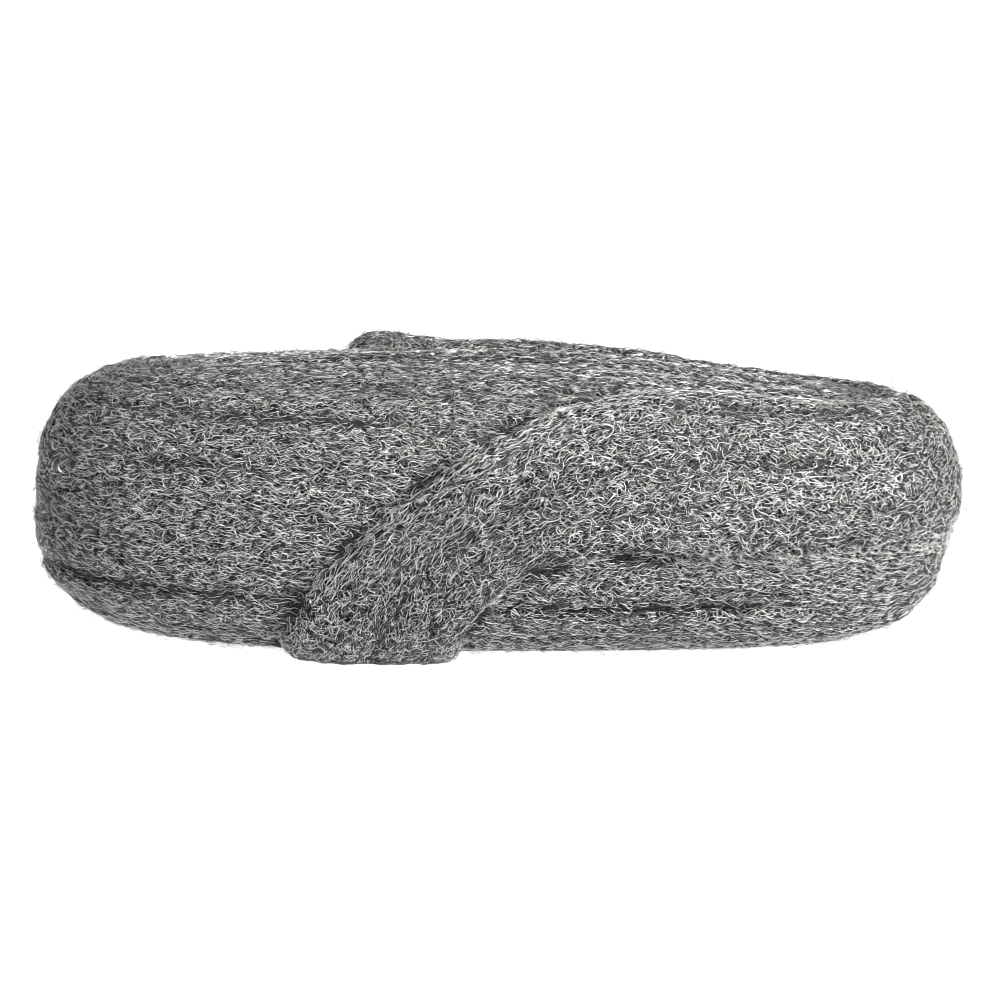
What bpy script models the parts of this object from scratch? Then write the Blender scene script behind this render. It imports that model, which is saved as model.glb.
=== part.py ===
"""A hank of steel wool: one long sliver wound round and round into an oval bundle that lies on its side.

The turns lie side by side as soft laps that run round the bundle. The last turn comes up from under the
bundle, crosses the front on the slant, runs round the right end and along the back, and is tucked in on
top. All of it is one continuous sliver, so it is one solid.

A place on the bundle's surface is a pair: run, how far round its outline from the middle of the front
towards the right, and drop, how far down over its side from the eye on top. Sizes are in metres. +X is
the bundle's length, the front faces -Y and +Z is up.
"""

import bmesh
import bpy
import numpy as np
from mathutils import Vector

# The wound body, without its last turn
BODY_LENGTH = 0.467
BODY_DEPTH = 0.180
BODY_HEIGHT = 0.149
LEFT_BLUNTNESS = 3.2
RIGHT_BLUNTNESS = 2.8
TOP_FULLNESS = 3.0
UNDERSIDE_FULLNESS = 2.45
END_TOP_FULLNESS = 3.7
END_UNDERSIDE_FULLNESS = 3.0
LEFT_FALL = 0.002
RIGHT_FALL = 0.019
LEFT_LIFT = 0.018
RIGHT_LIFT = 0.007
LEFT_LEAN = 0.006
SETTLE = 0.004

# The laps that the earlier turns show. Their edges wander and their grooves vary in waves round the
# bundle, and each edge's waves start a little further on than those of the edge above it. Some grooves
# are deep all the way and some are faint: a share of the depth for each edge, from the eye down.
LAP_WIDTH = 0.0228
LAP_OFFSET = 0.010
RAISED_EDGES = (6, 7)
RAISED_BY = 0.007
LAP_GROOVE = 0.0040
GROOVE_SHARES = (0.5, 0.5, 0.6, 1.0, 0.8, 0.6, 0.5, 0.4, 1.0, 0.7, 0.5, 0.5, 0.5)
GROOVE_LEAST = 0.5
GROOVE_WAVES = 3
GROOVE_SHIFT = 2.3
LAP_SWELL = 0.0010
SWELL_SHIFT = 2.1
PRESSED_HEIGHT = 0.010
WANDER = 0.0046
WANDER_START = 5.43
WANDER_SHIFT = 0.34
RIPPLE = 0.0035
RIPPLE_START = 0.86
RIPPLE_SHIFT = 1.49
EYE_WIDTH = 0.012
EYE_DEPTH = 0.005

# The last turn, from where it leaves the underside to its tucked tail. Its creases have their places as
# shares of its width, and each has a share of the depth on the slanting part and one on the level part.
# One share turns into the other over the bend, from the first to the last of CREASE_TURNS.
SLIVER_WIDTH = 0.092
FOOT_SPREAD = 0.020
TURN_START = -0.138
TURN_SHOULDER = 0.052
UPPER_LEVELS_AT = 0.136
LOWER_LEVELS_AT = 0.088
UPPER_SWEEP = 3.2
LOWER_SWEEP = 4.5
TURN_THICKNESS = 0.0070
TURN_BELLY = 0.0055
BELLY_END = 0.25
TURN_ROOT = 0.0055
CROSSING_ROLL = 0.011
CROSSING_RIM = 0.0025
LEVEL_ROLL = 0.022
LEVEL_RIM = -0.0035
CREASES = (0.0, 0.17, 0.50, 0.76, 1.0)
CREASE_DEPTH = 0.0040
CROSSING_SHARES = (0.0, 0.15, 0.7, 0.3, 0.0)
LEVEL_SHARES = (0.0, 1.0, 0.5, 0.4, 0.0)
CREASE_TURNS = (0.45, 1.05)
CREASE_LEAST = 0.5
CREASE_WAVES = 1.4
CREASE_SHIFT = 2.2
CREASE_FADES = (0.05, 0.12)
TAIL_RUN = 0.093
TAIL_DROP = 0.056
TAIL_WIDTH = 0.038
TAIL_RISE = 0.007
TURN_RISES = (0.45, 0.95)
TAIL_NARROWS = (0.6, 0.98)
NOSE = 0.07
NOSE_BLUNTNESS = 0.25
TAIL_SWELLS = (0.90, 1.0)
TIP_STARTS = 0.97

# How finely the surface is drawn: points round the bundle, rows across a lap, steps along the last turn
RUN_STEPS = 100
LAP_ROWS = (0.0, 0.2, 0.5, 0.8)
CROSSING_STEPS = 34
BLEND_STEPS = 10
LEVEL_STEPS = 66

STEEL_COLOUR = (0.21, 0.205, 0.20, 1.0)
STEEL_ROUGHNESS = 0.42

HALF_LENGTH = BODY_LENGTH / 2
HALF_DEPTH = BODY_DEPTH / 2
HALF_HEIGHT = BODY_HEIGHT / 2


def mix(first, second, share):
    return first * (1 - share) + second * share


def ease(value, start=0, end=1):
    """0 up to start, 1 from end on, and smooth between them."""
    share = np.clip((value - start) / (end - start), 0, 1)
    return share**2 * (3 - 2 * share)


def signed_power(value, power):
    return np.sign(value) * np.abs(value) ** power


def outline_table(samples=6001):
    """The bundle's outline from above, from the middle of the front round by the right end."""
    angle = np.linspace(-np.pi / 2, 1.5 * np.pi, samples)
    across, along = np.sin(angle), np.cos(angle)
    bluntness = np.where(along > 0, RIGHT_BLUNTNESS, LEFT_BLUNTNESS)
    x = HALF_LENGTH * signed_power(along, 2 / bluntness)
    y = HALF_DEPTH * signed_power(across, 2 / bluntness)
    run = np.concatenate([[0], np.cumsum(np.hypot(np.diff(x), np.diff(y)))])
    return run, x, y


def section_table(top_fullness, underside_fullness, samples=1201):
    """Half a section, from the eye round the side to the middle of the underside, even along its arc."""
    angle = np.linspace(np.pi / 2, -np.pi / 2, samples)
    fullness = np.where(angle > 0, top_fullness, underside_fullness)
    reach = np.abs(np.cos(angle)) ** (2 / fullness)
    rise = signed_power(np.sin(angle), 2 / fullness)
    step = np.hypot(np.diff(reach) * HALF_DEPTH, np.diff(rise) * HALF_HEIGHT)
    drop = np.concatenate([[0], np.cumsum(step)])
    even = np.linspace(0, drop[-1], samples)
    return drop[-1], np.interp(even, drop, reach), np.interp(even, drop, rise)


OUTLINE = outline_table()
ROUND = OUTLINE[0][-1]
RIGHT_TIP = OUTLINE[0][len(OUTLINE[0]) // 4]
BACK = 2 * RIGHT_TIP
DOWN, MIDDLE_REACH, MIDDLE_RISE = section_table(TOP_FULLNESS, UNDERSIDE_FULLNESS)
END_REACH, END_RISE = section_table(END_TOP_FULLNESS, END_UNDERSIDE_FULLNESS)[1:]
LAPS = round(DOWN / LAP_WIDTH)


def floor_and_top(x):
    """Heights of the underside, which lifts at both ends, and of the top, which falls towards them."""
    endwise = np.abs(x / HALF_LENGTH)
    lift = np.where(x < 0, LEFT_LIFT, RIGHT_LIFT) * endwise**3
    fall = np.where(x < 0, LEFT_FALL, RIGHT_FALL) * ease(endwise)
    return lift - SETTLE, BODY_HEIGHT - SETTLE - fall


def body_point(run, drop):
    """The point at a place on the body, before its laps are cut."""
    run, drop = np.broadcast_arrays(np.mod(run, ROUND), np.clip(drop, 0, DOWN))
    x = np.interp(run, OUTLINE[0], OUTLINE[1])
    y = np.interp(run, OUTLINE[0], OUTLINE[2])
    endwise = np.abs(x / HALF_LENGTH) ** 3
    down = np.linspace(0, DOWN, len(MIDDLE_REACH))
    reach = mix(np.interp(drop, down, MIDDLE_REACH), np.interp(drop, down, END_REACH), endwise)
    rise = mix(np.interp(drop, down, MIDDLE_RISE), np.interp(drop, down, END_RISE), endwise)
    spine = x * (1 - HALF_DEPTH / HALF_LENGTH)
    place_x = mix(spine, x, reach)
    place_x = place_x + LEFT_LEAN * rise * np.clip(-place_x / HALF_LENGTH, 0, 1) ** 4
    floor, top = floor_and_top(place_x)
    return np.stack([place_x, y * reach, mix(floor, top, (1 + rise) / 2)], axis=-1)


def outward(run, drop, step=0.0015):
    """The way out of the surface. At the eye and under the middle, it is taken a little beside them."""
    drop = np.clip(drop, 6 * step, DOWN - 6 * step)
    along = body_point(run + step, drop) - body_point(run - step, drop)
    down = body_point(run, drop + step) - body_point(run, drop - step)
    way = np.cross(down, along)
    return way / np.linalg.norm(way, axis=-1, keepdims=True)


def lifted(run, drop, lift):
    return body_point(run, drop) + outward(run, drop) * np.asarray(lift)[..., None]


def groove(place, along, waves, start, least):
    """A groove's depth: 0 on a lap's round back, and from least to 1 along its edges."""
    across = (1 - np.sin(np.pi * place)) ** 2
    return across * mix(least, 1, 0.5 + 0.5 * np.sin(2 * np.pi * waves * along + start))


def quarter_round(place):
    """The height of a rounded edge, from 0 where it starts to 1 where place reaches 1."""
    return np.sqrt(1 - (1 - np.clip(place, 0, 1)) ** 2)


def lap_edge(run, lap):
    """How far down a lap's upper edge lies. None runs quite level: each wanders in its own waves."""
    raised = RAISED_BY if lap in RAISED_EDGES else 0
    turn = 2 * np.pi * run / ROUND
    wander = WANDER * np.sin(turn + WANDER_START + WANDER_SHIFT * lap)
    ripple = RIPPLE * np.sin(2 * turn + RIPPLE_START + RIPPLE_SHIFT * lap)
    return DOWN * lap / LAPS - LAP_OFFSET - raised + wander + ripple


def mesh_object(name, points, faces):
    """An object of flat triangles: a union of bent quads would leave scraps along its seam."""
    mesh = bpy.data.meshes.new(name)
    mesh.from_pydata([tuple(p) for p in points], [], faces)
    shape = bmesh.new()
    shape.from_mesh(mesh)
    bmesh.ops.triangulate(shape, faces=shape.faces)
    shape.to_mesh(mesh)
    shape.free()
    obj = bpy.data.objects.new(name, mesh)
    bpy.context.scene.collection.objects.link(obj)
    return obj


def grid_faces(rows, columns, closed, first=0):
    """Quads between rows of points, each next to the one below it. closed joins a row's two ends."""
    faces = []
    for row in range(rows - 1):
        for column in range(columns if closed else columns - 1):
            after = (column + 1) % columns
            upper, lower = first + row * columns, first + (row + 1) * columns
            faces.append((upper + column, lower + column, lower + after, upper + after))
    return faces


def even_runs():
    """Places round the outline, as many in each quarter, so that the front ones face the back ones."""
    quarter = np.arange(RUN_STEPS // 4) / (RUN_STEPS // 4)
    left_tip = ROUND / 2 + RIGHT_TIP
    corners = [0, RIGHT_TIP, BACK, left_tip, ROUND]
    return np.concatenate([mix(a, b, quarter) for a, b in zip(corners, corners[1:])])


def across_faces(first):
    """Quads that close a row by joining each front point to the back point that it faces."""
    faces = []
    half, quarter = RUN_STEPS // 2, RUN_STEPS // 4
    for step in range(-quarter, quarter):
        corners = (step, step + 1, half - step - 1, half - step)
        faces.append(tuple(dict.fromkeys(first + corner % RUN_STEPS for corner in corners)))
    return faces


def wound_body():
    """The earlier turns: rows of points run round the bundle, four to a lap, from the eye downwards.

    The laps are pressed level where they come near the floor.
    """
    run = even_runs()
    turn = 2 * np.pi * run / ROUND
    eye_edge = EYE_WIDTH / 2
    rows = [lifted(run, np.full_like(run, eye_edge / 2), np.full_like(run, -EYE_DEPTH))]
    for lap in range(LAPS):
        for place in LAP_ROWS:
            drop = mix(lap_edge(run, lap), lap_edge(run, lap + 1), place)
            if drop.min() < eye_edge:
                continue
            pressed = ease(body_point(run, drop)[:, 2], 0, PRESSED_HEIGHT)
            swell = LAP_SWELL * np.sin(GROOVE_WAVES * turn + SWELL_SHIFT * (lap + place))
            edge = lap + round(place)
            cut = groove(place, run / ROUND, GROOVE_WAVES, GROOVE_SHIFT * edge, GROOVE_LEAST)
            cut = cut * LAP_GROOVE * GROOVE_SHARES[min(edge, len(GROOVE_SHARES) - 1)]
            rows.append(lifted(run, drop, (swell - cut) * pressed))
    points = np.concatenate(rows)
    last = len(points) - RUN_STEPS
    faces = grid_faces(len(rows), RUN_STEPS, closed=True) + across_faces(0)
    faces += [tuple(reversed(face)) for face in across_faces(last)]
    return mesh_object("wound_body", points, faces)


def crossing_edge(start, end, sweep):
    """An edge's curve over the front, from (run, drop) start to end: steep first, level at the end."""
    angle = np.linspace(0, np.pi / 2, CROSSING_STEPS + 1)[:-1]
    run = mix(start[0], end[0], np.sin(angle) ** sweep)
    drop = mix(end[1], start[1], np.cos(angle) ** sweep)
    return run, drop


def turn_edges():
    """The last turn's upper and lower edges, each as its runs and its drops at every step of the turn.

    The sliver's weight spreads it at its foot, under the bundle.
    """
    hem = TURN_SHOULDER + SLIVER_WIDTH
    foot_end = TURN_START + SLIVER_WIDTH + FOOT_SPREAD
    upper = crossing_edge((TURN_START, DOWN), (UPPER_LEVELS_AT, TURN_SHOULDER), UPPER_SWEEP)
    lower = crossing_edge((foot_end, DOWN), (LOWER_LEVELS_AT, hem), LOWER_SWEEP)
    share = np.linspace(0, 1, LEVEL_STEPS)
    middle = mix((TURN_SHOULDER + hem) / 2, TAIL_DROP, ease(share, *TURN_RISES))
    nose = np.maximum(quarter_round((1 - share) / NOSE), NOSE_BLUNTNESS)
    half_width = mix(SLIVER_WIDTH, TAIL_WIDTH, ease(share, *TAIL_NARROWS)) / 2 * nose
    tip = BACK + TAIL_RUN
    upper_run = np.concatenate([upper[0], mix(UPPER_LEVELS_AT, tip, share)])
    lower_run = np.concatenate([lower[0], mix(LOWER_LEVELS_AT, tip, share)])
    upper_drop = np.concatenate([upper[1], middle - half_width])
    lower_drop = np.concatenate([lower[1], middle + half_width])
    return (upper_run, upper_drop), (lower_run, lower_drop)


def turn_lift(share, place, fold, width):
    """How far the last turn stands off the body, at every step, on the line that is share across it."""
    steps = CROSSING_STEPS + LEVEL_STEPS
    travel = np.linspace(0, 1, steps)
    crossing = 1 - ease(np.arange(steps), CROSSING_STEPS, CROSSING_STEPS + BLEND_STEPS)
    side = min(share, 1 - share) * width / mix(LEVEL_ROLL, CROSSING_ROLL, crossing)
    rounded = np.minimum(quarter_round(side), quarter_round((1 - travel) / (1 - TIP_STARTS)))
    belly = TURN_BELLY * (1 - ease(travel, 0, BELLY_END))
    tail = TAIL_RISE * ease(travel, *TAIL_SWELLS)
    top = TURN_THICKNESS + belly + tail
    calm = np.clip(np.minimum(travel / CREASE_FADES[0], (1 - travel) / CREASE_FADES[1]), 0, 1)
    edge = fold + round(place)
    bent = ease(np.arange(steps) / CROSSING_STEPS, *CREASE_TURNS)
    depth = CREASE_DEPTH * mix(CROSSING_SHARES[edge], LEVEL_SHARES[edge], bent)
    crease = depth * groove(place, travel, CREASE_WAVES, CREASE_SHIFT * edge, CREASE_LEAST)
    return mix(mix(LEVEL_RIM, CROSSING_RIM, crossing), top, rounded) - crease * rounded * calm


def last_turn():
    """The last turn as a closed strip that follows the body, creased along its length."""
    (upper_run, upper_drop), (lower_run, lower_drop) = turn_edges()
    width = np.hypot(upper_run - lower_run, upper_drop - lower_drop)
    lines = [(fold, place) for fold in range(len(CREASES) - 1) for place in LAP_ROWS]
    lines.append((len(CREASES) - 2, 1.0))
    outer, inner = [], []
    for fold, place in lines:
        share = mix(CREASES[fold], CREASES[fold + 1], place)
        run, drop = mix(upper_run, lower_run, share), mix(upper_drop, lower_drop, share)
        outer.append(lifted(run, drop, turn_lift(share, place, fold, width)))
        inner.append(lifted(run, drop, np.full_like(run, -TURN_ROOT)))
    points = np.concatenate(outer + inner)
    rows, columns = len(lines), len(width)
    under = rows * columns
    faces = grid_faces(rows, columns, closed=False)
    faces += [tuple(reversed(face)) for face in grid_faces(rows, columns, closed=False, first=under)]
    top_rim = list(range(columns))
    end_rim = [row * columns + columns - 1 for row in range(1, rows)]
    lower_rim = [(rows - 1) * columns + step for step in range(columns - 2, -1, -1)]
    start_rim = [row * columns for row in range(rows - 2, 0, -1)]
    rim = top_rim + end_rim + lower_rim + start_rim
    for here, after in zip(rim, rim[1:] + rim[:1]):
        faces.append((here, after, after + under, here + under))
    return mesh_object("last_turn", points, faces)


def join_last_turn(body, turn):
    """Unites the last turn with the body, as one sliver, and keeps the result as the body's mesh."""
    union = body.modifiers.new("last turn", "BOOLEAN")
    union.operation = "UNION"
    union.object = turn
    bpy.context.view_layer.update()
    made = bpy.data.meshes.new_from_object(body.evaluated_get(bpy.context.evaluated_depsgraph_get()))
    body.modifiers.clear()
    body.data = made
    bpy.data.objects.remove(turn)


def lay_on_floor(body):
    """Cuts the underside flat, as the bundle's weight presses it, and centres it over the origin."""
    shape = bmesh.new()
    shape.from_mesh(body.data)
    everything = shape.verts[:] + shape.edges[:] + shape.faces[:]
    cut = bmesh.ops.bisect_plane(
        shape, geom=everything, plane_co=(0, 0, 0), plane_no=(0, 0, 1), clear_inner=True
    )
    rim = [part for part in cut["geom_cut"] if isinstance(part, bmesh.types.BMEdge)]
    bmesh.ops.holes_fill(shape, edges=rim)
    places = np.array([vert.co for vert in shape.verts])
    middle = (places.min(axis=0) + places.max(axis=0)) / 2
    bmesh.ops.translate(shape, verts=shape.verts, vec=Vector((-middle[0], -middle[1], 0)))
    bmesh.ops.recalc_face_normals(shape, faces=shape.faces)
    shape.to_mesh(body.data)
    shape.free()


def steel_material():
    material = bpy.data.materials.new("shaved_mild_steel_wool")
    material.use_nodes = True
    shader = material.node_tree.nodes["Principled BSDF"]
    shader.inputs["Base Color"].default_value = STEEL_COLOUR
    shader.inputs["Metallic"].default_value = 1.0
    shader.inputs["Roughness"].default_value = STEEL_ROUGHNESS
    return material


def main():
    for obj in list(bpy.data.objects):
        bpy.data.objects.remove(obj)
    body = wound_body()
    join_last_turn(body, last_turn())
    lay_on_floor(body)
    body.name = "steel_wool_hank"
    body.data.materials.clear()
    body.data.materials.append(steel_material())
    body.data.shade_smooth()


main()
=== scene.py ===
# %% [markdown]
# # A bundle of steel wool
#
# Steel wool is shaved, not spun: rows of notched blades plough long, thin shavings off a mild steel wire.
# The shavings are gathered into a loose band, called a sliver, and the sliver is wound into an oval
# bundle. Nothing ties or covers it, so the bundle is one material from end to end.
#
# What the eye sees is a thicket: bright, curled fibres over dark gaps. Two things together make it here.
# A wool core carries the laps and the fine web of fibres behind, and forty-four thousand modelled fibres
# lie over it. Modelling every fibre would take millions, and a flat texture alone would show no loose ends.

import math

import bpy
import numpy as np
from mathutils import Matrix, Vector, kdtree
from mathutils.bvhtree import BVHTree


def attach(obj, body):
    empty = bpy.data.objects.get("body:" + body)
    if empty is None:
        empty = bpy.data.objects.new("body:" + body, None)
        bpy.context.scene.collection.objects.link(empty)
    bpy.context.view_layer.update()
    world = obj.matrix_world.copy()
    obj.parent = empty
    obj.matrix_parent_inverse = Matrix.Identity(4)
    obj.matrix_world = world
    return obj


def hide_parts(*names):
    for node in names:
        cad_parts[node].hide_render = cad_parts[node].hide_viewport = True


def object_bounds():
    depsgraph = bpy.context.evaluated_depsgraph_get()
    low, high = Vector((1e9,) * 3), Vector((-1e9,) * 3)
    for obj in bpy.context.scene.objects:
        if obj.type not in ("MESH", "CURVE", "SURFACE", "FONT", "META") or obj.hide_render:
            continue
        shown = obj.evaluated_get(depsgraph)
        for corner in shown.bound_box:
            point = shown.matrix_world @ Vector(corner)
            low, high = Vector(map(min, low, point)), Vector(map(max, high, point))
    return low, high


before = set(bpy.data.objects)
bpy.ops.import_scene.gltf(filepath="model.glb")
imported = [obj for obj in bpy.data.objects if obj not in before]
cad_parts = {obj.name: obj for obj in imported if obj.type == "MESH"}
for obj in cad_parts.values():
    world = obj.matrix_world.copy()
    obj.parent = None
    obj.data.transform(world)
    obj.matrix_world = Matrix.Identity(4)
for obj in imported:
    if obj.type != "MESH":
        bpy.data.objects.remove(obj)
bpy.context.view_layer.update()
HANK = "steel_wool_hank"

# %% [markdown]
# ## The bundle's sizes
#
# These are the CAD's own sizes, in metres, so that the wool follows the solid that it stands for. A place
# on the bundle is a pair, run and drop: how far round its outline, and how far down over its side.

# %% Sizes
BODY_LENGTH = 0.467
BODY_DEPTH = 0.180
BODY_HEIGHT = 0.149
LEFT_BLUNTNESS, RIGHT_BLUNTNESS = 3.2, 2.8
TOP_FULLNESS, UNDERSIDE_FULLNESS = 3.0, 2.45
END_TOP_FULLNESS, END_UNDERSIDE_FULLNESS = 3.7, 3.0
LEFT_FALL, RIGHT_FALL = 0.002, 0.019
LEFT_LIFT, RIGHT_LIFT = 0.018, 0.007
LEFT_LEAN = 0.006
SETTLE = 0.004

LAP_WIDTH = 0.0228
LAP_OFFSET = 0.010
RAISED_EDGES, RAISED_BY = (6, 7), 0.007
LAP_GROOVE = 0.0040
GROOVE_SHARES = (0.5, 0.5, 0.6, 1.0, 0.8, 0.6, 0.5, 0.4, 1.0, 0.7, 0.5, 0.5, 0.5)
GROOVE_LEAST, GROOVE_WAVES, GROOVE_SHIFT = 0.5, 3, 2.3
WANDER, WANDER_START, WANDER_SHIFT = 0.0046, 5.43, 0.34
RIPPLE, RIPPLE_START, RIPPLE_SHIFT = 0.0035, 0.86, 1.49
PRESSED_HEIGHT = 0.010

EYE_WIDTH, EYE_DEPTH = 0.012, 0.005

SLIVER_WIDTH, FOOT_SPREAD = 0.092, 0.020
TURN_START = -0.138
TURN_SHOULDER = 0.052
UPPER_LEVELS_AT, LOWER_LEVELS_AT = 0.136, 0.088
UPPER_SWEEP, LOWER_SWEEP = 3.2, 4.5
TURN_THICKNESS = 0.0070
TURN_BELLY, BELLY_END = 0.0055, 0.25
TURN_ROOT = 0.0055
CROSSING_ROLL, CROSSING_RIM = 0.011, 0.0025
LEVEL_ROLL, LEVEL_RIM = 0.022, -0.0035
CREASES = (0.0, 0.17, 0.50, 0.76, 1.0)
CREASE_DEPTH = 0.0040
CROSSING_SHARES = (0.0, 0.15, 0.7, 0.3, 0.0)
LEVEL_SHARES = (0.0, 1.0, 0.5, 0.4, 0.0)
CREASE_TURNS, CREASE_LEAST = (0.45, 1.05), 0.5
CREASE_WAVES, CREASE_SHIFT = 1.4, 2.2
TAIL_RUN = 0.093
TAIL_DROP, TAIL_WIDTH, TAIL_RISE = 0.056, 0.038, 0.007
TURN_RISES, TAIL_NARROWS = (0.45, 0.95), (0.6, 0.98)
NOSE, NOSE_BLUNTNESS = 0.07, 0.25
TAIL_SWELLS, TIP_STARTS = (0.90, 1.0), 0.97

HALF_LENGTH, HALF_DEPTH, HALF_HEIGHT = BODY_LENGTH / 2, BODY_DEPTH / 2, BODY_HEIGHT / 2


# %% [markdown]
# Four small functions do the sums that come back all the time: a mix of two values, a soft step from 0 to 1,
# a power that keeps the sign, and a vector's direction.


# %% Small helpers for numbers
def mix(first, second, share):
    return first * (1 - share) + second * share


def ease(value, start=0.0, end=1.0):
    share = np.clip((value - start) / (end - start), 0, 1)
    return share**2 * (3 - 2 * share)


def signed_power(value, power):
    return np.sign(value) * np.abs(value) ** power


def unit(vectors):
    return vectors / np.maximum(np.linalg.norm(vectors, axis=-1, keepdims=True), 1e-12)


# %% [markdown]
# ## Where the surface runs
#
# The outline from above and the half section are both superellipses. Tables turn a distance along them
# into a place, so that laps and fibres can be laid out in real millimetres.


# %% Outline and section
def outline_table(samples=6001):
    angle = np.linspace(-np.pi / 2, 1.5 * np.pi, samples)
    bluntness = np.where(np.cos(angle) > 0, RIGHT_BLUNTNESS, LEFT_BLUNTNESS)
    x = HALF_LENGTH * signed_power(np.cos(angle), 2 / bluntness)
    y = HALF_DEPTH * signed_power(np.sin(angle), 2 / bluntness)
    return np.concatenate([[0], np.cumsum(np.hypot(np.diff(x), np.diff(y)))]), x, y


def section_table(top_fullness, underside_fullness, samples=1201):
    angle = np.linspace(np.pi / 2, -np.pi / 2, samples)
    fullness = np.where(angle > 0, top_fullness, underside_fullness)
    reach = np.abs(np.cos(angle)) ** (2 / fullness)
    rise = signed_power(np.sin(angle), 2 / fullness)
    steps = np.hypot(np.diff(reach) * HALF_DEPTH, np.diff(rise) * HALF_HEIGHT)
    drop = np.concatenate([[0], np.cumsum(steps)])
    even = np.linspace(0, drop[-1], samples)
    return drop[-1], np.interp(even, drop, reach), np.interp(even, drop, rise)


OUTLINE = outline_table()
ROUND = OUTLINE[0][-1]
RIGHT_TIP = OUTLINE[0][len(OUTLINE[0]) // 4]
BACK = 2 * RIGHT_TIP
DOWN, MIDDLE_REACH, MIDDLE_RISE = section_table(TOP_FULLNESS, UNDERSIDE_FULLNESS)
END_REACH, END_RISE = section_table(END_TOP_FULLNESS, END_UNDERSIDE_FULLNESS)[1:]
LAPS = round(DOWN / LAP_WIDTH)
print(f"once round is {ROUND:.3f} m, from the eye to under the middle is {DOWN:.3f} m, in {LAPS} laps")


# %% [markdown]
# A place on the bundle becomes a point in two steps: the outline gives it its place round the middle, and
# the section draws it in and lets it down. Towards the ends the section is fuller than in the middle.


# %% Points on the body
def body_point(run, drop):
    run, drop = np.broadcast_arrays(np.mod(run, ROUND), np.clip(drop, 0, DOWN))
    x, y = np.interp(run, OUTLINE[0], OUTLINE[1]), np.interp(run, OUTLINE[0], OUTLINE[2])
    endwise = np.abs(x / HALF_LENGTH) ** 3
    down = np.linspace(0, DOWN, len(MIDDLE_REACH))
    reach = mix(np.interp(drop, down, MIDDLE_REACH), np.interp(drop, down, END_REACH), endwise)
    rise = mix(np.interp(drop, down, MIDDLE_RISE), np.interp(drop, down, END_RISE), endwise)
    spine = x * (1 - HALF_DEPTH / HALF_LENGTH)
    place_x = mix(spine, x, reach)
    place_x = place_x + LEFT_LEAN * rise * np.clip(-place_x / HALF_LENGTH, 0, 1) ** 4
    share = np.abs(place_x / HALF_LENGTH)
    floor = np.where(place_x < 0, LEFT_LIFT, RIGHT_LIFT) * share**3 - SETTLE
    top = BODY_HEIGHT - SETTLE - np.where(place_x < 0, LEFT_FALL, RIGHT_FALL) * ease(share)
    return np.stack([place_x, y * reach, mix(floor, top, (1 + rise) / 2)], axis=-1)


def outward(run, drop, step=0.0015):
    drop = np.clip(drop, 6 * step, DOWN - 6 * step)
    along = body_point(run + step, drop) - body_point(run - step, drop)
    down = body_point(run, drop + step) - body_point(run, drop - step)
    return unit(np.cross(down, along))


def lifted(run, drop, lift):
    return body_point(run, drop) + outward(run, drop) * np.asarray(lift)[..., None]


# %% [markdown]
# ## Unevenness
#
# No lap of wool is smooth: it has soft creases along its fibres and tufts across them. Both come from one
# small noise: random heights on a grid, joined smoothly. Long, narrow cells make creases, short ones tufts.


# %% A soft noise on a grid
# The length, width and height of the creases and of the tufts, in metres.
FINE_CREASE, TUFT = (0.045, 0.0052, 0.0010), (0.009, 0.0065, 0.0003)


def soft_noise(seed, along, across):
    """Smooth random values from -1 to 1, over cells of one by one. It repeats after 256 cells."""
    heights = np.random.default_rng(seed).uniform(-1, 1, (256, 256))
    column, row = np.floor(along).astype(int), np.floor(across).astype(int)
    u, v = ease(along - column), ease(across - row)
    here, right = heights[row % 256, column % 256], heights[row % 256, (column + 1) % 256]
    below, beyond = heights[(row + 1) % 256, column % 256], heights[(row + 1) % 256, (column + 1) % 256]
    return mix(mix(here, right, u), mix(below, beyond, u), v)


def wool_relief(seed, along, across):
    """How far fine creases and tufts raise the wool, in metres."""
    creases = soft_noise(seed, along / FINE_CREASE[0], across / FINE_CREASE[1])
    tufts = soft_noise(seed + 1, along / TUFT[0], across / TUFT[1])
    return FINE_CREASE[2] * creases + TUFT[2] * tufts


# %% [markdown]
# ## The earlier turns
#
# Their laps lie side by side round the bundle, and a groove parts each from the next. The surface is drawn
# as a fine grid along the laps, so that the same grid can say later which way the fibres run.
#
# Stray fibres bridge a groove here and there, over stretches of 40 mm, and it stays dark between them:
# there painted shade darkens the core and dulls the fibres, on top of the groove's own shade. A noise says
# where. Its seed is one of many that were tried: with it the grooves stay open where the photograph shows
# them dark.


# %% The earlier turns as a grid
OPEN_SEED, OPEN_STRETCH, OPEN_LEAST, OPENS = 1516, 0.040, 0.15, (-0.4, 0.6)
# How hollow the eye is, which also sets the painted shade that darkens the eye.
EYE_HOLLOW = 0.5
BODY_RELIEF_SEED, RELIEF_SHIFT = 11, 0.3


def lap_edge(run, lap):
    raised = RAISED_BY if lap in RAISED_EDGES else 0
    turn = 2 * np.pi * run / ROUND
    wander = WANDER * np.sin(turn + WANDER_START + WANDER_SHIFT * lap)
    ripple = RIPPLE * np.sin(2 * turn + RIPPLE_START + RIPPLE_SHIFT * lap)
    return DOWN * lap / LAPS - LAP_OFFSET - raised + wander + ripple


def groove(place, along, waves, start, least, sharpness=3):
    across = (1 - np.sin(np.pi * place)) ** sharpness
    return across * mix(least, 1, 0.5 + 0.5 * np.sin(2 * np.pi * waves * along + start))


def open_share(run, edge):
    """How open the groove with that number stays, from OPEN_LEAST to 1, at each place along it."""
    noise = soft_noise(OPEN_SEED, run / OPEN_STRETCH, np.full_like(run, edge + 0.5))
    return mix(OPEN_LEAST, 1.0, ease(noise, *OPENS))


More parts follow.
